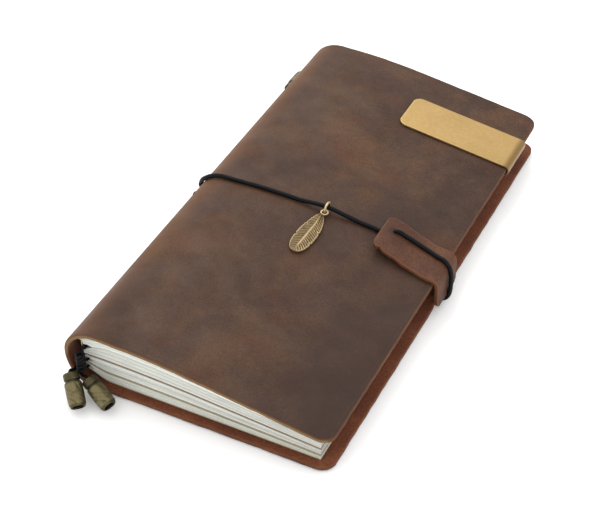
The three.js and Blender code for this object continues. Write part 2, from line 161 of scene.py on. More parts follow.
def waves(x, y, size, seed):
    """A gentle seeded unevenness between about -1 and 1, with bumps of about that size."""
    random = np.random.default_rng(seed)
    total = np.zeros(np.broadcast(x, y).shape)
    for _ in range(5):
        angle, phase = random.uniform(0, 2 * np.pi, 2)
        scale = random.uniform(0.6, 1.5) * 2 * np.pi / size
        total = total + np.sin(scale * (x * np.cos(angle) + y * np.sin(angle)) + phase)
    return total / 3


def make_mesh(name, points, faces, materials, slots=None, sharp=50, values=None):
    """An object of millimetre points in metres. values are float attributes by name."""
    mesh = bpy.data.meshes.new(name)
    mesh.from_pydata((np.asarray(points) * MM).tolist(), [], [list(map(int, f)) for f in faces])
    for material in materials:
        mesh.materials.append(material)
    if slots is not None:
        mesh.polygons.foreach_set("material_index", np.asarray(slots, np.int32))
    mesh.polygons.foreach_set("use_smooth", np.ones(len(mesh.polygons), bool))
    for key, numbers in (values or {}).items():
        attribute = mesh.attributes.new(key, "FLOAT", "POINT")
        attribute.data.foreach_set("value", np.asarray(numbers, np.float32).ravel())
    mesh.set_sharp_from_angle(angle=math.radians(sharp))
    mesh.update()
    piece = bpy.data.objects.new(name, mesh)
    bpy.context.scene.collection.objects.link(piece)
    return piece


def grid_faces(rows, columns, start=0, flip=False, wrap=False):
    """Quads over a grid of points; wrap joins the last column to the first."""
    i = np.arange(rows - 1)[:, None]
    j = np.arange(columns if wrap else columns - 1)[None, :]
    after = (j + 1) % columns
    corners = [i * columns + j, (i + 1) * columns + j, (i + 1) * columns + after, i * columns + after]
    quads = np.stack([np.broadcast_to(c, (rows - 1, j.size)) for c in corners], -1).reshape(-1, 4)
    return start + (quads[:, ::-1] if flip else quads)


def slab(top, bottom):
    """A closed solid between two grids: its points, its faces and each face's part.

    The parts are 0 for the top, 1 for the bottom and 2 for the walls.
    """
    rows, columns = top.shape[:2]
    layer = rows * columns
    ring = [(i, 0) for i in range(rows)]
    ring += [(rows - 1, j) for j in range(1, columns)]
    ring += [(i, columns - 1) for i in range(rows - 2, -1, -1)]
    ring += [(0, j) for j in range(columns - 2, 0, -1)]
    loop = np.array([i * columns + j for i, j in ring])
    after = np.roll(loop, -1)
    walls = np.stack([loop, loop + layer, after + layer, after], -1)
    upper = grid_faces(rows, columns)
    lower = grid_faces(rows, columns, layer, flip=True)
    points = np.concatenate([top.reshape(-1, 3), bottom.reshape(-1, 3)])
    parts = np.repeat([0, 1, 2], [len(upper), len(lower), len(walls)])
    return points, np.concatenate([upper, lower, walls]), parts


def route(points, steps=10):
    """A smooth centripetal curve through the points, sampled evenly between them."""
    p = np.array(points, float)
    p = np.vstack([2 * p[0] - p[1], p, 2 * p[-1] - p[-2]])
    t = np.arange(steps)[:, None] / steps
    out = []
    for a, b, c, d in zip(p, p[1:], p[2:], p[3:]):
        ab, bc, cd = (max(np.linalg.norm(e - s) ** 0.5, 1e-4) for s, e in ((a, b), (b, c), (c, d)))
        m1 = ((b - a) / ab - (c - a) / (ab + bc) + (c - b) / bc) * bc
        m2 = ((c - b) / bc - (d - b) / (bc + cd) + (d - c) / cd) * bc
        cubic = (2 * b - 2 * c + m1 + m2) * t**3 + (-3 * b + 3 * c - 2 * m1 - m2) * t**2
        out.append(cubic + m1 * t + b)
    return np.vstack(out + [p[-2:-1]])


def run_along(path):
    """Distance along a path to each of its points."""
    return np.concatenate([[0], np.cumsum(np.linalg.norm(np.diff(path, axis=0), axis=1))])


def even(path, spacing):
    """The same path with points about that far apart."""
    reach = run_along(path)
    at = np.linspace(0, reach[-1], max(int(reach[-1] / spacing), 4))
    return np.stack([np.interp(at, reach, path[:, k]) for k in range(3)], -1), at


def path_frames(path):
    """Two directions across the path at each of its points, carried along without twisting."""
    tangent = np.gradient(path, axis=0)
    tangent /= np.linalg.norm(tangent, axis=1, keepdims=True)
    first = np.cross(tangent[0], (0.3, 0.2, 1.0))
    normals = [first / np.linalg.norm(first)]
    for t in tangent[1:]:
        n = normals[-1] - t * np.dot(normals[-1], t)
        normals.append(n / np.linalg.norm(n))
    normals = np.array(normals)
    return normals, np.cross(tangent, normals)


def tube(name, points, radius, material, spacing=0.35, sides=16, weave=0.05):
    """A woven round elastic along the points, with a slight diamond relief."""
    path, at = even(route(points), spacing)
    normal, side = path_frames(path)
    angle = 2 * np.pi * np.arange(sides) / sides
    relief = np.cos(4 * angle[None, :] + 3.2 * at[:, None]) * np.cos(4 * angle[None, :] - 3.2 * at[:, None])
    size = radius * (1 + weave * relief - weave)[..., None]
    ring = np.cos(angle)[None, :, None] * normal[:, None] + np.sin(angle)[None, :, None] * side[:, None]
    body = (path[:, None] + size * ring).reshape(-1, 3)
    faces = grid_faces(len(path), sides, flip=True, wrap=True).tolist()
    faces += [list(range(sides))[::-1], [(len(path) - 1) * sides + k for k in range(sides)]]
    return make_mesh(name, body, faces, [material], sharp=70), path


def place(piece, body, nodes):
    """The piece rides on a body and stands for CAD nodes, which it hides."""
    if nodes:
        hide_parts(*nodes)
    if body:
        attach(piece, body)
    return piece


# ---- Materials ----


def tone(red, green, blue, share=1.0):
    """A linear colour from the usual 0 to 255 levels."""
    levels = np.array([red, green, blue]) / 255
    linear = np.where(levels <= 0.04045, levels / 12.92, ((levels + 0.055) / 1.055) ** 2.4)
    return (*(linear * share).tolist(), 1.0)


class Shade:
    """Builds one material's nodes."""

    def __init__(self, name, roughness=0.6, metallic=0.0, **sockets):
        self.material = bpy.data.materials.new(name)
        self.material.use_nodes = True
        self.tree = self.material.node_tree
        self.shader = self.tree.nodes["Principled BSDF"]
        self.shader.inputs["Roughness"].default_value = roughness
        self.shader.inputs["Metallic"].default_value = metallic
        for key, value in sockets.items():
            self.shader.inputs[key.replace("_", " ")].default_value = value
        self.coordinates = self.add("ShaderNodeTexCoord").outputs["Object"]

    def add(self, kind, **settings):
        made = self.tree.nodes.new(kind)
        for key, value in settings.items():
            setattr(made, key, value)
        return made

    def join(self, source, target):
        self.tree.links.new(source, target)

    def feed(self, socket, value):
        if hasattr(value, "is_output"):
            self.join(value, socket)
        else:
            socket.default_value = value

    def noise(self, scale, detail=3.0, rough=0.55, stretch=(1, 1, 1), turn=(0, 0, 0), twist=0.0):
        mapping = self.add("ShaderNodeMapping")
        mapping.inputs["Scale"].default_value = stretch
        mapping.inputs["Rotation"].default_value = turn
        self.join(self.coordinates, mapping.inputs["Vector"])
        made = self.add("ShaderNodeTexNoise")
        made.inputs["Scale"].default_value = scale
        made.inputs["Detail"].default_value = detail
        made.inputs["Roughness"].default_value = rough
        made.inputs["Distortion"].default_value = twist
        self.join(mapping.outputs["Vector"], made.inputs["Vector"])
        return made.outputs["Fac"]

    def value(self, name):
        return self.add("ShaderNodeAttribute", attribute_name=name).outputs["Fac"]

    def axis(self, letter):
        split = self.add("ShaderNodeSeparateXYZ")
        self.join(self.coordinates, split.inputs["Vector"])
        return split.outputs[letter]

    def span(self, source, low, high, to_low=0.0, to_high=1.0):
        made = self.add("ShaderNodeMapRange", interpolation_type="SMOOTHSTEP")
        self.join(source, made.inputs["Value"])
        for key, value in zip(("From Min", "From Max", "To Min", "To Max"), (low, high, to_low, to_high)):
            made.inputs[key].default_value = value
        return made.outputs["Result"]

    def math(self, operation, a, b):
        made = self.add("ShaderNodeMath", operation=operation)
        self.feed(made.inputs[0], a)
        self.feed(made.inputs[1], b)
        return made.outputs["Value"]

    def mix(self, share, a, b, blend="MIX"):
        made = self.add("ShaderNodeMix", data_type="RGBA", blend_type=blend)
        self.feed(made.inputs[0], share)
        self.feed(made.inputs[6], a)
        self.feed(made.inputs[7], b)
        return made.outputs[2]

    def ramp(self, source, stops):
        made = self.add("ShaderNodeValToRGB")
        for _ in stops[2:]:
            made.color_ramp.elements.new(0.5)
        for element, (position, colour) in zip(made.color_ramp.elements, stops):
            element.position = position
            element.color = colour
        self.join(source, made.inputs["Fac"])
        return made.outputs["Color"]

    def bump(self, height, distance, strength=1.0, under=None):
        made = self.add("ShaderNodeBump")
        made.inputs["Strength"].default_value = strength
        made.inputs["Distance"].default_value = distance * MM
        self.join(height, made.inputs["Height"])
        if under is not None:
            self.join(under, made.inputs["Normal"])
        return made.outputs["Normal"]

    def finish(self, colour, normal=None, roughness=None):
        self.join(colour, self.shader.inputs["Base Color"])
        if normal is not None:
            self.join(normal, self.shader.inputs["Normal"])
        if roughness is not None:
            self.join(roughness, self.shader.inputs["Roughness"])
        return self.material


def leather_colour(s, dark, middle, light, red):
    """Waxed leather: cloudy browns, reddish patches, fine speckle and pale rubbed streaks."""
    clouds = s.ramp(s.noise(34, 7, 0.66, twist=0.15), [(0.34, dark), (0.5, middle), (0.67, light)])
    clouds = s.mix(s.span(s.noise(44, 4, 0.6), 0.5, 0.72, 0, 0.55), clouds, red)
    speckle = s.ramp(s.noise(1300, 4, 0.75), [(0.3, (0.62, 0.62, 0.62, 1)), (0.7, (1.36, 1.34, 1.32, 1))])
    clouds = s.mix(1.0, clouds, speckle, "MULTIPLY")
    streaks = s.noise(70, 6, 0.75, stretch=(5, 1, 1), turn=(0, 0, 0.5), twist=0.4)
    clouds = s.mix(s.span(streaks, 0.64, 0.76, 0, 0.16), clouds, light)
    return s.mix(s.span(s.noise(420, 3, 0.6), 0.66, 0.74, 0, 0.3), clouds, light)


def leather_normal(s):
    grain = s.bump(s.noise(1100, 4, 0.6), 0.06, 0.5)
    return s.bump(s.noise(120, 4, 0.5), 0.25, 0.35, under=grain)


def make_leather():
    s = Shade("waxed leather", Specular_IOR_Level=0.12)
    colour = leather_colour(
        s, tone(49, 36, 30), tone(66, 48, 38), tone(86, 62, 44), tone(78, 46, 33)
    )
    # Painted sheen: the leather is painted lighter towards the spine side, where the light falls on it.
    across = s.span(s.axis("X"), 0.06, -0.05)
    colour = s.mix(s.math("MULTIPLY", across, 0.3), colour, tone(80, 57, 41))
    # Painted shade: darker towards the fore-edge at the tail, the side turned away from the light.
    lower_right_shade = s.math("MULTIPLY", s.span(s.axis("Y"), 0.11, -0.08), s.span(s.axis("X"), -0.02, 0.05))
    colour = s.mix(s.math("MULTIPLY", lower_right_shade, 0.7), colour, tone(50, 36, 31))
    # Lighter tan along the spine, stronger towards the head: rubbed wear from the bend together with a
    # painted highlight where the light falls on the spine.
    spine = s.span(s.axis("X"), -0.041, -0.054)
    spine = s.math("MULTIPLY", spine, s.span(s.axis("Y"), -0.07, 0.03, 0.5, 0.72))
    colour = s.mix(spine, colour, tone(108, 73, 47))
    rim = s.value("rim")
    crease = s.math("MULTIPLY", s.span(rim, 1.7, 2.3), s.span(rim, 3.0, 2.4))
    colour = s.mix(s.math("MULTIPLY", crease, 0.12), colour, tone(40, 28, 23))
    colour = s.mix(s.span(rim, 0.6, 0.1, 0, 0.45), colour, tone(100, 68, 46))
    roughness = s.span(s.noise(60, 4, 0.6), 0.3, 0.7, 0.5, 0.68)
    return s.finish(colour, leather_normal(s), roughness)


def make_tab_leather():
    s = Shade("tab leather", Specular_IOR_Level=0.12)
    colour = leather_colour(
        s, tone(64, 42, 32), tone(80, 52, 39), tone(94, 64, 47), tone(84, 48, 34)
    )
    # Painted shade: the tab darkens towards its lower end, where it turns down the fore-edge.
    lower = s.span(s.axis("Z"), 0.017, 0.004, 0, 0.55)
    colour = s.mix(lower, colour, tone(62, 41, 32))
    colour = s.mix(s.span(s.value("rim"), 0.7, 0.1, 0, 0.6), colour, tone(116, 74, 48))
    # Painted shade: a darker disc where the elastic comes up through the tab, standing in for the hole and
    # its shade.
    colour = s.mix(s.span(s.value("hole"), 2.6, 1.2, 0, 0.75), colour, tone(58, 38, 30))
    return s.finish(colour, leather_normal(s), s.span(s.noise(60, 4, 0.6), 0.3, 0.7, 0.52, 0.7))


def make_raw_edge():
    s = Shade("raw leather edge", 0.85, Specular_IOR_Level=0.2)
    fibres = s.noise(900, 5, 0.75)
    stops = [(0.3, tone(70, 43, 28)), (0.55, tone(94, 60, 38)), (0.75, tone(118, 78, 50))]
    patches = s.ramp(s.noise(150, 4, 0.6), stops)
    at_tail = s.span(s.axis("Y"), -0.1075, -0.109)
    raised = s.span(s.axis("Z"), 0.012, 0.016, 0, 0.7)
    patches = s.mix(s.math("MULTIPLY", at_tail, raised), patches, tone(134, 110, 72))
    colour = s.mix(s.span(fibres, 0.35, 0.7, 0.35, 0), patches, tone(78, 46, 30))
    return s.finish(colour, s.bump(fibres, 0.25, 0.8))


def make_suede():
    s = Shade("suede", 0.95, Specular_IOR_Level=0.1, Sheen_Weight=0.1, Sheen_Roughness=0.5)
    nap = s.noise(1300, 5, 0.75)
    stops = [(0.3, tone(90, 48, 31)), (0.5, tone(107, 60, 39)), (0.72, tone(124, 74, 48))]
    colour = s.ramp(s.noise(60, 5, 0.65), stops)
    colour = s.mix(s.span(nap, 0.58, 0.36, 0, 0.6), colour, tone(62, 30, 22))
    # Painted highlight: the suede is lighter along its cut edge.
    colour = s.mix(s.span(s.value("rim"), 0.8, 0.1, 0, 0.3), colour, tone(112, 66, 42))
    return s.finish(colour, s.bump(nap, 0.2, 0.7))


def make_paper():
    s = Shade("paper", 0.92, Specular_IOR_Level=0.2)
    leaves = s.noise(1, 3, 0.6, stretch=(40, 40, 6500))
    stops = [(0.3, tone(196, 199, 191)), (0.45, tone(224, 226, 218)), (0.7, tone(234, 235, 228))]
    edge = s.ramp(leaves, stops)
    # Painted shade: the leaves' flat faces, which lie in the gaps between sheets, are painted darker than
    # their cut edges.
    normal = s.add("ShaderNodeSeparateXYZ")
    s.join(s.add("ShaderNodeNewGeometry").outputs["True Normal"], normal.inputs["Vector"])
    painted_shade_on_faces = s.span(s.math("ABSOLUTE", normal.outputs["Z"], 0.0), 0.5, 0.8)
    colour = s.mix(painted_shade_on_faces, edge, tone(180, 179, 172))
    uneven = s.noise(90, 3, 0.5, stretch=(1, 1, 9))
    colour = s.mix(s.span(uneven, 0.4, 0.7, 0, 0.2), colour, tone(178, 178, 166))
    return s.finish(colour, s.bump(leaves, 0.05, 0.6))


def make_card(name, base, dark):
    s = Shade(name, 0.88, Specular_IOR_Level=0.2)
    flecks = s.noise(1700, 4, 0.7)
    colour = s.ramp(flecks, [(0.32, dark), (0.48, base), (0.72, base)])
    colour = s.mix(s.span(s.noise(70, 4, 0.6), 0.4, 0.7, 0, 0.3), colour, dark)
    return s.finish(colour, s.bump(s.noise(2200, 3, 0.6), 0.03, 0.5))


def make_elastic():
    s = Shade("woven elastic", 0.6, Specular_IOR_Level=0.14)
    threads = s.noise(2600, 4, 0.65)
    colour = s.ramp(threads, [(0.35, tone(3, 3, 5)), (0.6, tone(8, 9, 12)), (0.8, tone(22, 24, 30))])
    return s.finish(colour, s.bump(threads, 0.06, 0.7), s.span(threads, 0.3, 0.7, 0.42, 0.7))


def make_antique(name, bright, worn, patina):
    """Cast bronze: bright where the relief stands up, dark in its hollows."""
    s = Shade(name, 0.4, 0.85)
    raised = s.value("raised")
    blotch = s.noise(420, 5, 0.65)
    colour = s.ramp(raised, [(0.0, patina), (0.45, worn), (0.95, bright)])
    colour = s.mix(s.span(blotch, 0.5, 0.75, 0, 0.45), colour, patina)
    roughness = s.span(blotch, 0.3, 0.7, 0.3, 0.55)
    return s.finish(colour, s.bump(s.noise(1500, 4, 0.6), 0.05, 0.5), roughness)


# Where shade is painted on the brass round the clip's nose, in metres along X.
CLIP_NOSE_SHADE_SPAN = (0.0535, 0.0562)


def make_brass():
    s = Shade("satin brass", 0.36, 0.9)
    lines = s.noise(70, 4, 0.6, stretch=(1, 60, 60), turn=(0, 0.149, 0))
    stops = [(0.3, tone(156, 128, 80)), (0.55, tone(170, 141, 91)), (0.75, tone(184, 156, 104))]
    colour = s.ramp(lines, stops)
    stain = s.noise(60, 5, 0.65)
    colour = s.mix(s.span(stain, 0.52, 0.75, 0, 0.4), colour, tone(140, 112, 68))
    # Painted shade: a darker band where the clip bends round its nose.
    nose = s.span(s.axis("X"), *CLIP_NOSE_SHADE_SPAN, 0, 0.85)
    colour = s.mix(nose, colour, tone(118, 92, 52))
    return s.finish(colour, s.bump(lines, 0.02, 0.4), s.span(stain, 0.3, 0.7, 0.3, 0.46))


def make_steel():
    s = Shade("staple wire", 0.3, 1.0)
    drawn = s.noise(900, 3, 0.5, stretch=(1, 0.1, 1))
    colour = s.ramp(drawn, [(0.35, tone(150, 152, 155)), (0.65, tone(205, 206, 208))])
    return s.finish(colour, s.bump(drawn, 0.02, 0.5))


leather = make_leather()
tab_leather = make_tab_leather()
raw_edge = make_raw_edge()
suede = make_suede()
paper = make_paper()
card_materials = {
    "a": make_card("brown card", tone(128, 84, 56), tone(86, 52, 34)),
    # Painted shade: the middle booklet's ivory card is painted grey, as it sits in shade between the other
    # booklets.
    "b": make_card("ivory card in painted shade", tone(150, 146, 134), tone(112, 108, 98)),
    "c": make_card("olive card", tone(160, 148, 108), tone(118, 104, 70)),
}
tint_card = make_card("pale card", tone(190, 176, 122), tone(158, 142, 88))
elastic = make_elastic()
bronze = make_antique("antique bronze", tone(112, 103, 73), tone(76, 70, 48), tone(22, 19, 13))
charm_bronze = make_antique("charm bronze", tone(206, 182, 140), tone(150, 128, 92), tone(52, 40, 28))
brass = make_brass()
steel = make_steel()


# ---- Beads ----

BEAD_PROFILE = [
    (BEAD_BORE, 0.2), (BEAD_RADIUS - 0.9, 0.0), (BEAD_RADIUS - 0.35, 0.15),
    (BEAD_RADIUS - 0.12, 0.5), (BEAD_RADIUS - 0.1, 2.5), (BEAD_RADIUS - 0.25, 2.8),
    (BEAD_RADIUS - 0.65, 3.05), (BEAD_RADIUS - 0.65, 3.4), (BEAD_RADIUS - 0.2, 3.65),
    (BEAD_RADIUS, 4.0), (BEAD_RADIUS + 0.05, 8.5), (BEAD_RADIUS - 0.08, 12.8),
    (BEAD_RADIUS - 0.25, 13.35), (BEAD_RADIUS - 0.55, BEAD_LENGTH), (2.25, 13.45), (2.05, 13.0),
    (1.95, 9.0), (BEAD_BORE, 8.5), (BEAD_BORE, 0.6),
]


def bead_relief(angle, run):
    """An even barrel engraved with thin lines that wind round it and cross."""
    stem = np.cos(3 * angle + 1.1 * run + 1.2 * np.sin(0.8 * run + angle))
    leaf = np.cos(5 * angle - 2.1 * run + 1.3 * np.cos(1.2 * run))
    lines = np.maximum(1 - np.abs(stem) / 0.32, 0) + 0.6 * np.maximum(1 - np.abs(leaf) / 0.3, 0)
    raised = 1 - np.clip(lines, 0, 1)
    return raised * smooth((run - 4.0) / 0.8) * smooth((13.0 - run) / 0.8)


def make_bead(name, top, toward):
    sides = 72
    axis = np.array(toward, float) / np.linalg.norm(toward)
    side = np.cross(axis, (0.2, 0.1, 1.0))
    side /= np.linalg.norm(side)
    front = np.cross(axis, side)
    loop = BEAD_PROFILE + BEAD_PROFILE[:1]
    steps = [max(int(math.dist(a, b) / 0.28), 1) for a, b in zip(loop, loop[1:])]
    profile = np.vstack([
        np.linspace(a, b, count, endpoint=False) for a, b, count in zip(loop, loop[1:], steps)
    ])
    radius, run = profile[:, :1], profile[:, 1:]
    angle = 2 * np.pi * np.arange(sides)[None, :] / sides
    outside = radius > BEAD_RADIUS - 0.4
    raised = np.where(outside, bead_relief(angle, run), 0)
    size = radius + 0.22 * raised - np.where(outside, 0.1 * smooth((run - 4) / 0.8), 0)
    ring = np.cos(angle)[..., None] * side + np.sin(angle)[..., None] * front
    points = np.array(top) + run[..., None] * axis + size[..., None] * ring
    rows = len(profile)
    faces = grid_faces(rows + 1, sides, wrap=True) % (rows * sides)
    inside = np.broadcast_to(radius < BEAD_RADIUS - 0.8, raised.shape)
    groove = np.broadcast_to((run > 2.9) & (run < 3.5), raised.shape)
    shade = np.where(inside, 0.0, np.where(groove, 0.15, 0.42 + 0.58 * raised))
    return make_mesh(name, points.reshape(-1, 3), faces, [bronze], sharp=60, values={"raised": shade})


# ---- Tail strands and their knot: the free cords ----

TAIL_BEADS = {
    "left": ((-50.2, -115.2, 9.8), (7.7, -8.2, -6.4)),
    "right": ((-43.4, -113.6, 8.3), (11.3, -4.6, -4.8)),
}


def on_bead(side, distance):
    top, toward = TAIL_BEADS[side]
    return tuple(np.array(top) + np.array(toward) / np.linalg.norm(toward) * distance)


STRANDS = {
    "left": [
        (-52.5, -92, 12), (-52.4, -99, 11.7), (-52.2, -105.5, 10.6), (-51, -109.4, 8.8),
        (-50.4, -112.4, 9.4), on_bead("left", -1), on_bead("left", 6), on_bead("left", 11.5),
    ],
    "right": [
        (-51, -92, 7.9), (-51, -99, 7.9), (-50.95, -105.5, 7.7), (-50.2, -110.4, 7.3),
        (-46.9, -112.6, 7.9), on_bead("right", -1), on_bead("right", 6), on_bead("right", 11.5),
    ],
}


def make_knot():
    """The gathered elastics: one strand wound round itself in uneven, crossing turns."""
    turn = np.linspace(0, 2 * np.pi * TAIL_KNOT_TURNS, 260)
    share = turn / turn[-1]
    lean = 0.9 * np.sin(turn + 1.1 * np.floor(turn / (2 * np.pi)))
    out = 1.35 + 0.22 * np.sin(5.3 * turn)
    x = TAIL_KNOT[0] + out * np.cos(turn)
    y = TAIL_KNOT[1] + out * np.sin(turn)
    z = TAIL_KNOT[2] + 8.2 * share + lean * 0.8
    winding = np.stack([x, y, np.clip(z, 10.1, 18.7)], -1)
    knot, _ = tube("elastic_knot", winding[::4], 0.66, elastic, 0.3, 12)
    return place(knot, "back_half", ["binding_knot"])


def make_strands():
    knot = make_knot()
    for side, points in STRANDS.items():
        top, toward = TAIL_BEADS[side]
        bead = make_bead(f"end_bead_{side}", top, toward)
        place(bead, "back_half", [f"tail_bead_{side}"])
        strand, path = tube(f"strand_{side}", points, STRAND_RADIUS, elastic, 0.3)
        place(strand, "back_half", [f"tail_strand_{side}"])


make_strands()


# ---- Cover ----


def front_z(x, depth=0.0):
    """Height of the front cover's outer face, less a depth into the leather."""
    crown = SPINE_X + UPPER_BEND
    bend = FRONT_SLOPE / (2 * (SLOPE_START - crown))
    reach = np.minimum(x, SLOPE_START) - crown
    return SPINE_HEIGHT - depth - bend * reach**2 - FRONT_SLOPE * np.maximum(x - SLOPE_START, 0)


def half_cover(x):
    past = np.maximum(x - (FORE_X - CORNER), 0)
    return COVER_LENGTH / 2 - CORNER + np.sqrt(np.maximum(CORNER**2 - past**2, 0))


def pressed_up(x, y, z):
    """How far the closing elastic lifts what lies over its channel."""
    across = smooth((CHANNEL_REACH - np.abs(y - CHANNEL_Y)) / (CHANNEL_REACH - CHANNEL_FLAT))
    along = smooth((x - (SPINE_X + 4)) / 4)
    above = 1 - np.clip((z - LEATHER) / PRESSED_STACK, 0, 1)
    return CHANNEL_HEIGHT * across * along * above


def edge_steps(low, high, spacing, fine=(0.12, 0.3, 0.6, 1.0, 1.6, 2.4, 3.4, 4.6)):
    """Positions from low to high, closer together near the high end."""
    body = np.linspace(low, high - fine[-1] - spacing / 2, int((high - low) / spacing))
    return np.concatenate([body, high - np.array(fine[::-1]), [high]])


def cover_surface(depth_at):
    """Grid points of the cover at a depth that may vary, from the back fore-edge to the front one."""
    bends = np.linspace(0, np.pi / 2, 19)
    back = edge_steps(SPINE_X + LOWER_BEND, FORE_X, 2.0)[::-1]
    front = edge_steps(SPINE_X + UPPER_BEND, FORE_X, 1.6)
    half = edge_steps(0, 1, 0.018, np.array([0.12, 0.3, 0.6, 1.0, 1.6, 2.4]) / 110)
    across = np.concatenate([-half[:0:-1], half])[None, :]
    outline = np.concatenate([back, np.full(36, SPINE_X), front])[:, None]
    y = across * half_cover(outline)
    corner_x = outline - (FORE_X - CORNER)
    corner_y = np.abs(y) - (COVER_LENGTH / 2 - CORNER)
    straight = np.minimum(FORE_X - outline, COVER_LENGTH / 2 - np.abs(y))
    rounded = CORNER - np.hypot(corner_x, corner_y)
    rim = np.where((corner_x > 0) & (corner_y > 0), rounded, straight)
    depth = depth_at(outline, y, rim)
    cuts = np.cumsum([len(back), 18, 18])
    parts = np.split(depth, cuts)
    low, high = bends[1:, None], bends[:-1, None]
    places = [
        (back[:, None] + 0 * parts[0], parts[0]),
        (
            SPINE_X + LOWER_BEND - (LOWER_BEND - parts[1]) * np.sin(low),
            SPINE_MID - (SPINE_MID - parts[1]) * np.cos(low),
        ),
        (
            SPINE_X + UPPER_BEND - (UPPER_BEND - parts[2]) * np.cos(high),
            SPINE_MID + (SPINE_HEIGHT - SPINE_MID - parts[2]) * np.sin(high),
        ),
        (front[:, None] + 0 * parts[3], front_z(front[:, None], parts[3])),
    ]
    x = np.concatenate([p[0] for p in places])
    z = np.concatenate([p[1] for p in places])
    ragged = 0.1 * waves(outline, y, 9, 5) * smooth(1 - rim / 1.2)
    x = x - ragged * (corner_x > 0)
    y = y - ragged * np.sign(y)
    return np.stack([x, y, z + pressed_up(x, y, z)], -1), np.maximum(rim, 0)


# Which of [grain side, cut edge, flesh side] the top, bottom and walls of a slab take.
HIDE_SLOTS = np.array([0, 2, 1])


def make_cover():
    def rounding(rim):
        return 0.55 * (1 - np.sqrt(1 - np.clip(1 - rim / 0.7, 0, 1) ** 2))

    def outer(x, y, rim):
        soft = 0.1 * waves(x, y, 60, 11) * (x > -30)
        return np.clip(rounding(rim) + np.maximum(soft, -0.06) * smooth(rim / 8), 0, 0.6)

    def inner(x, y, rim):
        return LEATHER - 0.5 * rounding(rim)

    top, rim = cover_surface(outer)
    bottom, _ = cover_surface(inner)
    points, faces, parts = slab(top, bottom)
    slots = HIDE_SLOTS[parts]
    both = np.concatenate([rim.ravel(), rim.ravel()])
    cover = make_mesh("leather_cover", points, faces, [leather, raw_edge, suede], slots, 40, {"rim": both})
    place(cover, None, ["back_cover", "front_cover"])
    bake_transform(cover)


# ---- Booklets ----


def stack_z(share, x):
    top = front_z(x, LEATHER) - CLIP_ROOM
    opened = STACK_LOW + share * (top - STACK_LOW)
    amount = np.where(opened > PINCH_HEIGHT, PINCH_ABOVE, PINCH_BELOW)
    pinch = 1 - amount * smooth((PINCH_START_X - x) / (PINCH_START_X - FOLD_X))
    return PINCH_HEIGHT + (opened - PINCH_HEIGHT) * pinch


def filled(share, x, y):
    """The top leaves spring up under the leather, except where the clip goes in."""
    room = 1.05 * smooth((60 - y) / 20) * smooth((x + 49) / 15)
    return room * smooth((share - 0.5) / 0.5)


def sprung(share, x, y):
    """How far the fold side of the top leaves is pushed out towards the spine at their tail end."""
    near_fold = smooth((-38 - x) / 11)
    return 2.4 * smooth((share - 0.8) / 0.2) * near_fold * smooth((-60 - y) / 30)


def paper_grid(columns, rows, share, offset):
    x = columns[:, None]
    y = rows[None, :]
    z = stack_z(share, x) + offset + filled(share, x, y)
    return x + 0 * y, y + 0 * x, z + pressed_up(x, y, z)


PAGE_COLUMNS = np.concatenate([
    np.linspace(FOLD_X + 0.5, PINCH_START_X, 12), np.linspace(-34, PAPER_FORE_X, 16),
])
HEAD = PAPER_SHIFT + PAPER_LENGTH / 2
TAIL = PAPER_SHIFT - PAPER_LENGTH / 2
PAGE_ROWS = np.unique(np.concatenate([
    np.linspace(TAIL, HEAD, 19), CHANNEL_Y + CHANNEL_REACH * np.linspace(-1, 1, 11),
]))


def make_pages(name, low, high, upper, body, leaves):
    """A block of thin leaves, each a little out of line with the next."""
    random = np.random.default_rng(len(name) + int(1000 * high) + upper)
    middle = (low + high) / 2
    start, end = (middle, high) if upper else (low, middle)
    x = PAGE_COLUMNS[:, None]
    fold = GAP / 2 + (FOLD_CHANNEL - GAP / 2) * smooth(FOLD_X + 4 - x)
    cover_side = GAP / 2 + CARD + 0.1
    below, above = (fold, cover_side) if upper else (cover_side, fold)
    points, faces, count = [], [], 0
    for k in range(leaves):
        fore, tail, head = random.normal(0, 0.07, 3).clip(-0.16, 0.16)
        columns = PAGE_COLUMNS.copy()
        columns[-1] += fore
        rows = PAGE_ROWS.copy()
        rows[0] += tail
        rows[-1] += head
        grids = []
        for edge in (k + 1 - LEAF_SPACE, k + LEAF_SPACE):
            t = edge / leaves
            share = start + t * (end - start)
            offset = below * (1 - t) - above * t
            x, y, z = paper_grid(columns, rows, share, offset)
            grids.append(np.stack([x - sprung(share, x, y), y, z], -1))
        p, f, _ = slab(*grids)
        points.append(p)
        faces.append(f + count)
        count += len(p)
    block = make_mesh(f"{name}_leaves", np.concatenate(points), np.concatenate(faces), [paper], sharp=30)
    place(block, body, [name])


def card_loop(low, high, part):
    """The line of a booklet's card cover in x and height, from its back fore-edge round the fold."""
    columns = np.concatenate([np.linspace(PAPER_FORE_X, -30, 24), np.linspace(-34, FOLD_X + 1.2, 10)])
    bend = np.linspace(0.15, np.pi / 2, 5)
    bottom = stack_z(low, columns) + GAP / 2
    top = stack_z(high, columns) - GAP / 2
    low_fold, high_fold = stack_z(low, FOLD_X) + GAP / 2, stack_z(high, FOLD_X) - GAP / 2
    fold_columns = [FOLD_X + CARD_FOLD - (CARD_FOLD + CARD) * math.sin(a) for a in bend]
    rises = [CARD_FOLD * (1 - math.cos(a)) for a in bend]
    under = [(column, low_fold + rise) for column, rise in zip(fold_columns, rises)]
    over = [(column, high_fold - rise) for column, rise in zip(fold_columns, rises)]
    middle = stack_z((low + high) / 2, FOLD_X)
    fold_x = FOLD_X - CARD
    back = list(zip(columns, bottom)) + under + [(fold_x, middle - GAP / 2)]
    front = [(fold_x, middle + GAP / 2)] + over[::-1] + list(zip(columns[::-1], top[::-1]))
    return {"back": back, "front": front, "whole": back + front}[part]


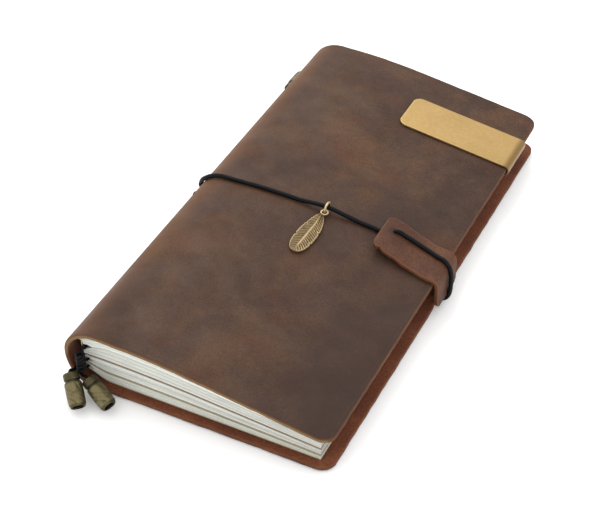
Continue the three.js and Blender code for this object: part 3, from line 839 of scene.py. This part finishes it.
def make_booklet_card(node, low, high, part, body, material):
    line = np.array(card_loop(low, high, part))
    step = np.gradient(line, axis=0)
    step /= np.linalg.norm(step, axis=1, keepdims=True)
    inside = line - CARD * np.stack([-step[:, 1], step[:, 0]], -1)
    rows = PAGE_ROWS[None, :]
    grids = []
    for side in (line, inside):
        x = side[:, :1]
        z = side[:, 1:] + 0 * rows
        share = np.where(z > stack_z((low + high) / 2, x), high, low)
        z = z + filled(share, x, rows)
        grids.append(np.stack([x + 0 * rows, rows + 0 * x, z + pressed_up(x, rows, z)], -1))
    points, faces, _ = slab(*grids)
    piece = make_mesh(f"{node}_card", points, faces, [material], sharp=40)
    place(piece, body, [node])


def make_booklets():
    leaves = {"a": 24, "b": 15, "c": 12}
    for name, (low, high) in SPLITS.items():
        for upper in (True, False):
            node = f"pages_{name}_{'upper' if upper else 'lower'}"
            body = "leaves" if node == "pages_a_upper" else "back_half"
            make_pages(node, low, high, upper, body, leaves[name])
    low, high = SPLITS["a"]
    make_booklet_card("booklet_a_cover_front", low, high, "front", "leaves", tint_card)
    make_booklet_card("booklet_a_cover_back", low, high, "back", "back_half", card_materials["a"])
    for name in ("b", "c"):
        make_booklet_card(f"booklet_{name}_cover", *SPLITS[name], "whole", "back_half", card_materials[name])
    for name in SPLITS:
        for end in ("tail", "head"):
            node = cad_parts[f"staple_{name}_{end}"]
            node.data.materials.clear()
            node.data.materials.append(steel)


# ---- Elastics ----


def fold_height(name, x=FOLD_X):
    low, high = SPLITS[name]
    return float(stack_z((low + high) / 2, x))


def binding_points(name, gutter_z):
    """Along the booklet's centre fold and back through the gutter."""
    gutter_x = FOLD_X - CARD - 1
    run_x = FOLD_X + 1.6
    z = fold_height(name, run_x)
    past = 1.9
    return [
        (run_x - 1.4, TAIL - past, z + (gutter_z - z) * 0.3), (run_x, TAIL - 1.1, z), (run_x, TAIL + 4, z),
        (run_x, 0, z), (run_x, HEAD - 4, z), (run_x, HEAD + 1.1, z),
        (run_x - 1.8, HEAD + past, z + (gutter_z - z) * 0.5), (gutter_x, HEAD + 0.8, gutter_z),
        (gutter_x, HEAD - 5, gutter_z), (gutter_x, 0, gutter_z), (gutter_x, TAIL + 6, gutter_z),
        (gutter_x, TAIL + 1, gutter_z),
    ]


def strap_over(x, y):
    lift = STRAP_RADIUS + RING_ROOM * float(smooth(1 - abs(x - CHARM_X) / 14))
    return (x, y, float(front_z(x)) + lift)


def tab_lift(x):
    """Height of the tab's underside above the cover: the elastic props up its free end."""
    propped = float(smooth((TAB_SETTLE_X - x) / (TAB_SETTLE_X - TAB_PROPPED_X)))
    return GAP + (2 * STRAP_RADIUS + GAP) * propped


def strap_on_tab(x, y):
    return (x, y, float(front_z(x)) + tab_lift(x) + TAB_THICKNESS + STRAP_RADIUS)


STRAP_HOLES = (-1.0, -5.8)
UNDER_RUN = [(x, CHANNEL_Y, 1.08) for x in (54, 44, 20, -10, -36, -46)]
STRAP = [
    (-52.7, STRAP_HOLES[0], 17.1), (-54.5, STRAP_HOLES[0], 17), (-55.9, STRAP_HOLES[0], 17.1),
    (-56.45, STRAP_HOLES[0] - 0.2, 18.2), (-55.85, -1.6, 20.2), (-54.8, -2.4, 22.4), (-52.5, -3.3, 24.9),
    (-49.3, -3.5, 27.15), (-45, -3.6, 28.65),
    strap_over(-39, -3.6), strap_over(-27, -2.7), strap_over(-16, -2), strap_over(-9, -1.5),
    strap_over(-2, -0.9), strap_over(CHARM_X, STRAP_AT_CHARM_Y), strap_over(10, -0.1), strap_over(17, 0.3),
    strap_over(23, 0.5), strap_over(27, 0.4), strap_over(30, 0.3),
    strap_on_tab(34.4, 0.3), strap_on_tab(38, 0.2), strap_on_tab(43, -0.2), strap_on_tab(48, -1),
    strap_on_tab(52.4, -2),
    (56.5, -3, 19.5), (58.8, -3.6, 17.6), (60.0, -4.1, 14.6), (60.3, -4.5, 11), (60.3, CHANNEL_Y, 7),
    (59.8, CHANNEL_Y, 4.3), (58.7, CHANNEL_Y, 2.3), (57, CHANNEL_Y, 1.2),
    *UNDER_RUN,
    (-50, CHANNEL_Y, 1.15), (-52.4, CHANNEL_Y, 1.6), (-54.7, CHANNEL_Y, 4.3), (-56.3, -5, 8.6),
    (-57.1, -5.4, 12.6), (-57.1, STRAP_HOLES[1], 15.4), (-56.2, STRAP_HOLES[1], 17),
    (-54.5, STRAP_HOLES[1], 17.2), (-52.7, STRAP_HOLES[1], 17.1),
]


def make_elastics():
    for name, gutter_z in GUTTER_HEIGHTS.items():
        points = binding_points(name, gutter_z)
        piece, _ = tube(f"booklet_elastic_{name}", points, BINDING_RADIUS, elastic, 0.6, 12)
        place(piece, "back_half", [f"binding_elastic_{name}"])
    strap, _ = tube("closing_elastic", STRAP, STRAP_RADIUS, elastic, 0.3)
    place(strap, None, ["closure_elastic"])
    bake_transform(strap)
    x, y, z = STRAP_KNOT
    knot_points = [
        (x + 0.35 * math.cos(a), y + 0.75 * math.sin(a), z + 0.09 * a) for a in np.linspace(0, 13, 40)
    ]
    knot, _ = tube("strap_knot", knot_points, 0.42, elastic, 0.2, 10)
    place(knot, "front_half", ["closure_knot"])


def loop_points():
    x, y, z = SPINE_BEAD
    reach = BEAD_LENGTH / 2 + 1.9
    sides = {}
    for sign in (-1, 1):
        end = y + sign * reach
        sides[sign] = [
            (-51.9, end, 10.1), (-55.1, end, 9.1), (-57.7, end - sign * 0.4, 9.3), (x, end - sign * 1.9, z),
        ]
    return sides[-1] + [SPINE_BEAD] + sides[1][::-1]


def make_spine_charm():
    x, y, z = SPINE_BEAD
    bead = make_bead("side_bead", (x, y - BEAD_LENGTH / 2, z), (0, 1, 0))
    place(bead, "spine_charm", ["spine_bead"])
    loop, _ = tube("side_loop", loop_points(), STRAND_RADIUS, elastic, 0.3)
    place(loop, None, ["spine_loop"])
    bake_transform(loop)


# ---- Bent plates: the pull tab and the brass clip ----


def plate(line, thickness, half_width, middle, columns, rounding, base=0.0):
    """A strip along a line of (x, z) points: its grids outside and inside, and its rim distance."""
    reach = run_along(line)
    step = np.gradient(line, axis=0)
    step /= np.linalg.norm(step, axis=1, keepdims=True)
    normal = np.stack([-step[:, 1], step[:, 0]], -1)
    v = np.asarray(columns)[None, :]
    y = middle[:, None] + v * half_width[:, None]
    ends = np.minimum(reach, reach[-1] - reach)[:, None]
    rim = np.minimum(ends, half_width[:, None] - np.abs(v) * half_width[:, None])
    drop = rounding * (1 - np.sqrt(1 - np.clip(1 - rim / (1.4 * rounding), 0, 1) ** 2))
    grids = []
    for depth in (base + thickness - drop, base + 0.6 * drop):
        x = line[:, :1] + normal[:, :1] * depth
        z = line[:, 1:] + normal[:, 1:] * depth
        grids.append(np.stack([x + 0 * y, y + 0 * x, z + 0 * y], -1))
    return grids, rim, reach


def resample(points, spacing, ends):
    """Evenly spaced points on a smooth line through (x, z) points, closer near both ends."""
    line = route([(p[0], 0, p[1]) for p in points], 12)
    reach = run_along(line)
    inner = np.linspace(ends[-1], reach[-1] - ends[-1], int(reach[-1] / spacing))
    at = np.concatenate([[0], ends[:-1], inner, reach[-1] - np.array(ends[-2::-1]), [reach[-1]]])
    return np.stack([np.interp(at, reach, line[:, 0]), np.interp(at, reach, line[:, 2])], -1)


def strip_columns(inner, count, edge):
    """Places across a strip from -1 to 1: count even ones within inner, then the edge ones."""
    return np.concatenate([-np.array(edge)[::-1], np.linspace(-inner, inner, count), edge])


def corner_width(line, half, radius):
    """Half-width along a strip whose end corners are rounded."""
    reach = run_along(line)
    width = np.full(len(reach), half)
    for distance in (reach, reach[-1] - reach):
        near = np.clip(radius - distance, 0, radius)
        width = np.minimum(width, half - radius + np.sqrt(radius**2 - near**2))
    return width


TAB_DOWN = [(55.4, 17), (56.7, 16.3), (57.2, 14.9), (57.3, 12), (57.3, 9), (57.4, 6.4), (57.4, 4.2)]
FINE_ENDS = (0.1, 0.25, 0.5, 0.9, 1.4, 2.0, 2.8)


def tab_line():
    over = (TAB_LEFT_X, 30, 33, 36, 40, 44, 48, 51, 53.4)
    return resample([(x, float(front_z(x)) + tab_lift(x)) for x in over] + TAB_DOWN, 0.9, FINE_ENDS)


def make_tab():
    line = tab_line()
    share = np.linspace(0, 1, len(line))
    middle = -1.8 - 3.4 * smooth(share * 1.5)
    width = corner_width(line, TAB_WIDTH / 2, 3.4)
    columns = strip_columns(0.86, 33, (0.92, 0.96, 0.985, 1))
    grids, rim, _ = plate(line, TAB_THICKNESS, width, middle, columns, 0.4)
    for grid in grids:
        x, y = grid[..., 0], grid[..., 1]
        wobble = 0.14 * waves(x, y, 7, 3) * smooth(1 - rim / 1.5)
        notch = 1.0 * smooth(1 - np.abs(x - TAB_NOTCH_X) / 1.3) * smooth((-9.4 - y) / 2)
        grid[..., 1] = y + wobble + notch
    points, faces, parts = slab(*grids)
    hole = np.hypot(points[:, 0] - TAB_HOLE[0], points[:, 1] - TAB_HOLE[1])
    values = {"rim": np.concatenate([rim.ravel()] * 2), "hole": hole}
    slots = HIDE_SLOTS[parts]
    piece = make_mesh("pull_tab", points, faces, [tab_leather, raw_edge, suede], slots, 45, values)
    place(piece, "tab", ["closure_tab"])


CLIP_NOSE = [
    (-2.2, 1.1), (-1.2, 0.95), (-0.4, 0.45), (-0.05, -0.4), (0, -1.6), (-0.2, -2.9), (-0.9, -3.9),
    (-2, -4.4), (-3.2, -4.35), (-4.4, -3.9), (-5.5, -3.35), (-6.6, -3.1),
]


def clip_line():
    """The clip's outer side, from the tip over the cover, round the nose and back underneath."""
    tilt = math.atan(FRONT_SLOPE)
    above = CLIP_SHEET + GAP
    below = -LEATHER - GAP - CLIP_SHEET
    points = [(u, above) for u in (0, 4, 12, 24, 36, 46)]
    points += [(CLIP_LENGTH + back, height) for back, height in CLIP_NOSE]
    points += [(u, below) for u in (40, 30, 18, 8, 3.4)]
    base = float(front_z(CLIP_START_X))
    cos, sin = math.cos(tilt), math.sin(tilt)
    placed = [(CLIP_START_X + u * cos + w * sin, base - u * sin + w * cos) for u, w in points]
    return resample(placed, 0.6, FINE_ENDS)


def make_clip():
    line = clip_line()
    width = corner_width(line, CLIP_WIDTH / 2, 3.8)
    columns = strip_columns(0.9, 25, (0.95, 0.975, 0.992, 1))
    middle = np.full(len(line), CLIP_Y)
    grids, _, _ = plate(line, CLIP_SHEET, width, middle, columns, 0.2, base=-CLIP_SHEET)
    points, faces, _ = slab(*grids)
    piece = make_mesh("page_clip", points, faces, [brass], sharp=35)
    place(piece, "clip", ["brass_clip"])


# ---- Charm ----


def make_ring():
    """The oval jump ring: a closed wire with its cut showing as a fine step."""
    count, sides = 72, 14
    around = 2 * np.pi * np.arange(count)[:, None] / count
    tube_angle = 2 * np.pi * np.arange(sides)[None, :] / sides
    wire = RING_TUBE * (1 - 0.12 * (np.abs(around - np.pi / 2) < 0.08))
    y = (2.6 + wire * np.cos(tube_angle)) * np.cos(around)
    z = (1.9 + wire * np.cos(tube_angle)) * np.sin(around)
    x = wire * np.sin(tube_angle) + 0 * y
    centre = (CHARM_X, RING_Y, float(front_z(CHARM_X)) + STRAP_LIFT + RING_ROOM)
    points = (np.stack([x, y, z], -1) + centre).reshape(-1, 3)
    faces = grid_faces(count + 1, sides, wrap=True) % (count * sides)
    shade = np.full(len(points), 0.8)
    piece = make_mesh("jump_ring", points, faces, [charm_bronze], values={"raised": shade})
    place(piece, "charm", ["charm_ring"])


def feather_half(s, side):
    t = np.where(s < FEATHER_WIDEST, s / FEATHER_WIDEST - 1, (s - FEATHER_WIDEST) / (1 - FEATHER_WIDEST))
    near = np.maximum(1 - np.abs(t) ** 2.2, 0) ** 0.8
    body = np.where(t < 0, near, np.sqrt(np.maximum(1 - np.abs(t) ** 2.6, 0)))
    splits = (0.3, 0.62) if side < 0 else (0.42, 0.72)
    notch = 1 - sum(0.2 * np.maximum(1 - np.abs(s - at) / 0.022, 0) for at in splits)
    return 0.35 + (FEATHER_WIDTH / 2 - 0.35) * body * notch


def feather_height(s, v):
    """Height of the cast relief: a thick rim, a tall quill and slanting barbs."""
    size = np.abs(v)
    quill = 0.55 * np.maximum(1 - size / 0.13, 0) ** 0.6 * smooth((0.88 - s) / 0.04)
    rim = 0.34 * smooth((size - 0.8) / 0.12)
    barbs = 0.15 * np.cos(2 * np.pi * (s * 20 - size * 2.5)) * smooth((size - 0.12) / 0.1)
    return 0.62 + quill + rim + barbs * smooth((0.98 - s) / 0.05)


def make_feather():
    s = np.linspace(0, 1, 230)[:, None]
    v = np.sign(np.linspace(-1, 1, 61)) * np.abs(np.linspace(-1, 1, 61)) ** 0.9
    v = v[None, :]
    half = np.where(v < 0, feather_half(s, -1), feather_half(s, 1))
    x = CHARM_X - 0.6 + FEATHER_LEAN * s + v * half
    y = RING_Y - 3.5 - s * FEATHER_LENGTH + 0 * v
    base = front_z(x) + GAP + 0.85 * (1 - smooth(s / 0.3)) + 0.5 * s * s
    height = feather_height(s, v)
    edge = smooth(1 - np.minimum((1 - np.abs(v)) * half, np.minimum(s, 1 - s) * FEATHER_LENGTH) / 0.4)
    top = np.stack([x, y, base + height - 0.3 * edge], -1)
    bottom = np.stack([x, y, base + 0.12 * edge], -1)
    points, faces, _ = slab(top[:, ::-1], bottom[:, ::-1])
    shade = np.clip((height - 0.45) / 0.75, 0, 1)[:, ::-1]
    values = {"raised": np.concatenate([shade.ravel(), np.full(shade.size, 0.3)])}
    blade = make_mesh("feather", points, faces, [charm_bronze], sharp=50, values=values)
    place(blade, "charm", ["feather_charm"])
    make_eyelet()


def make_eyelet():
    """The cast loop at the top of the feather."""
    count, sides = 56, 16
    around = 2 * np.pi * np.arange(count)[:, None] / count
    section = 2 * np.pi * np.arange(sides)[None, :] / sides
    wire = 0.42 * (1 + 0.15 * np.sin(around))
    x = (1.42 + wire * np.cos(section)) * np.cos(around)
    y = (1.42 + wire * np.cos(section)) * np.sin(around)
    z = wire * np.sin(section) + 0 * x
    centre = (CHARM_X - 0.15, RING_Y - 2.3, float(front_z(CHARM_X)) + GAP + 1.5)
    points = (np.stack([x, y, z], -1) + centre).reshape(-1, 3)
    faces = grid_faces(count + 1, sides, wrap=True, flip=True) % (count * sides)
    shade = np.full(len(points), 0.75)
    piece = make_mesh("feather_eyelet", points, faces, [charm_bronze], values={"raised": shade})
    place(piece, "charm", [])


make_cover()
make_booklets()
make_elastics()
make_spine_charm()
make_tab()
make_clip()
make_ring()
make_feather()


# ---- Floor and light ----

FLOOR_Z = -0.5
FLOOR_REACH = 4000
WORLD_STRENGTH = 1.3


def make_floor():
    s = Shade("floor", 0.9, Specular_IOR_Level=0.1)
    cloth = s.noise(3, 2, 0.5)
    colour = s.ramp(cloth, [(0.3, (0.96, 0.96, 0.96, 1)), (0.7, (0.98, 0.98, 0.98, 1))])
    sides = ((-1, -1), (1, -1), (1, 1), (-1, 1))
    corners = [(a * FLOOR_REACH, b * FLOOR_REACH, FLOOR_Z) for a, b in sides]
    floor = make_mesh("floor", corners, [(0, 1, 2, 3)], [s.finish(colour)])


def make_light(name, position, size, power):
    data = bpy.data.lights.new(name, "AREA")
    data.shape = "DISK"
    data.size = size
    data.energy = power
    lamp = bpy.data.objects.new(name, data)
    lamp.location = position
    lamp.rotation_euler = Vector(position).to_track_quat("Z", "Y").to_euler()
    bpy.context.scene.collection.objects.link(lamp)


def make_world():
    world = bpy.data.worlds.new("studio")
    bpy.context.scene.world = world
    world.use_nodes = True
    world.node_tree.nodes["Background"].inputs["Color"].default_value = (1, 1, 1, 1)
    world.node_tree.nodes["Background"].inputs["Strength"].default_value = WORLD_STRENGTH


make_floor()
make_world()
make_light("key", (-0.7, 0.9, 1.3), 0.9, 12)
make_light("fill", (0.9, -1.0, 0.9), 1.2, 4)
bpy.context.scene.view_settings.view_transform = "Standard"
